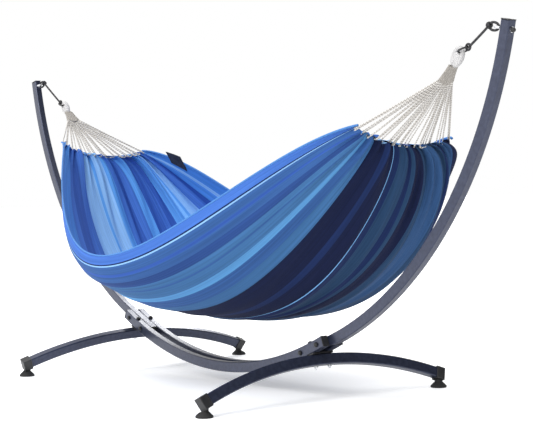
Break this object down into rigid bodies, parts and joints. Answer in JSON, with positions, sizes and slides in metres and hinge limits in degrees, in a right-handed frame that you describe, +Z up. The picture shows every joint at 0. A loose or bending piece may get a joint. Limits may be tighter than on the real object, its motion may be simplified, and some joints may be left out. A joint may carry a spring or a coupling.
{
  "type": "hammock on stand",
  "caption": "Cloth hammock with gathered ends, hung by ropes between the tips of a free-standing curved steel stand on arched cross feet.",
  "frame": {"origin": "on the floor, under the middle of the stand", "axes": "+X along the hammock, +Z up, -Y towards the low open hem of the cloth"},
  "size_m": [3.2762, 1.126, 1.292],
  "materials": {
    "frame_coat": "satin powder coat",
    "black_plastic": "matt moulded",
    "black_rubber": "matt",
    "black_steel": "black cap over steel",
    "zinc": "bright zinc plate",
    "black_rope": "braided",
    "white_cord": "twisted cotton cord",
    "grey_web": "woven cord band",
    "blue_cloth": "striped woven cotton",
    "tag_cloth": "plain woven tag"
  },
  "bodies": {
    "stand": {"foot_bar_left": "frame_coat", "arm_left": "frame_coat", "saddle_left": "black_plastic", "arm_top_plug_left": "black_plastic", "arm_foot_plug_left": "black_plastic", "eye_bolt_left": "zinc", "eye_washer_left": "zinc", "eye_nut_left": "black_plastic", "foot_bar_right": "frame_coat", "arm_right": "frame_coat", "saddle_right": "black_plastic", "arm_top_plug_right": "black_plastic", "arm_foot_plug_right": "black_plastic", "eye_bolt_right": "zinc", "eye_washer_right": "zinc", "eye_nut_right": "black_plastic", "foot_cap_left_front": "black_plastic", "foot_pad_left_front": "black_rubber", "rail_plug_left_front": "black_plastic", "upright_bolt_left_front": "black_steel", "upright_nut_left_front": "zinc", "foot_cap_left_back": "black_plastic", "foot_pad_left_back": "black_rubber", "rail_plug_left_back": "black_plastic", "upright_bolt_left_back": "black_steel", "upright_nut_left_back": "zinc", "foot_cap_right_front": "black_plastic", "foot_pad_right_front": "black_rubber", "rail_plug_right_front": "black_plastic", "upright_bolt_right_front": "black_steel", "upright_nut_right_front": "zinc", "foot_cap_right_back": "black_plastic", "foot_pad_right_back": "black_rubber", "rail_plug_right_back": "black_plastic", "upright_bolt_right_back": "black_steel", "upright_nut_right_back": "zinc", "rail_front": "frame_coat", "rail_back": "frame_coat", "cross_bolt_left_inner": "black_steel", "cross_nut_left_inner": "black_plastic", "cross_bolt_left_outer": "black_steel", "cross_nut_left_outer": "black_plastic", "cross_bolt_right_inner": "black_steel", "cross_nut_right_inner": "black_plastic", "cross_bolt_right_outer": "black_steel", "cross_nut_right_outer": "black_plastic"},
    "rope_left": {"rope_left": "black_rope", "ring_left": "black_plastic"},
    "rope_right": {"rope_right": "black_rope", "ring_right": "black_plastic"},
    "hammock": {"clew_eye_left": "white_cord", "clew_web_left": "grey_web", "clew_strings_left": "white_cord", "clew_eye_right": "white_cord", "clew_web_right": "grey_web", "clew_strings_right": "white_cord", "hammock_cloth": "blue_cloth", "hem_tag": "tag_cloth"}
  },
  "joints": [
    {"name": "sway_left", "type": "hinge", "parent": "stand", "child": "rope_left", "pos_m": [-1.56595, 0, 1.2659], "axis": [1, 0, 0], "range_deg": [-30, 30]},
    {"name": "sway_right", "type": "hinge", "parent": "stand", "child": "rope_right", "pos_m": [1.56595, 0, 1.2659], "axis": [1, 0, 0], "range_deg": [-30, 30]},
    {"name": "rock", "type": "hinge", "parent": "rope_left", "child": "hammock", "pos_m": [-1.33756, 0, 1.16422], "axis": [0.9999, 0, 0.0161], "range_deg": [-20, 20]}
  ],
  "couplings": [
    {"joint": "sway_right", "follows": "sway_left", "ratio": 1}
  ]
}
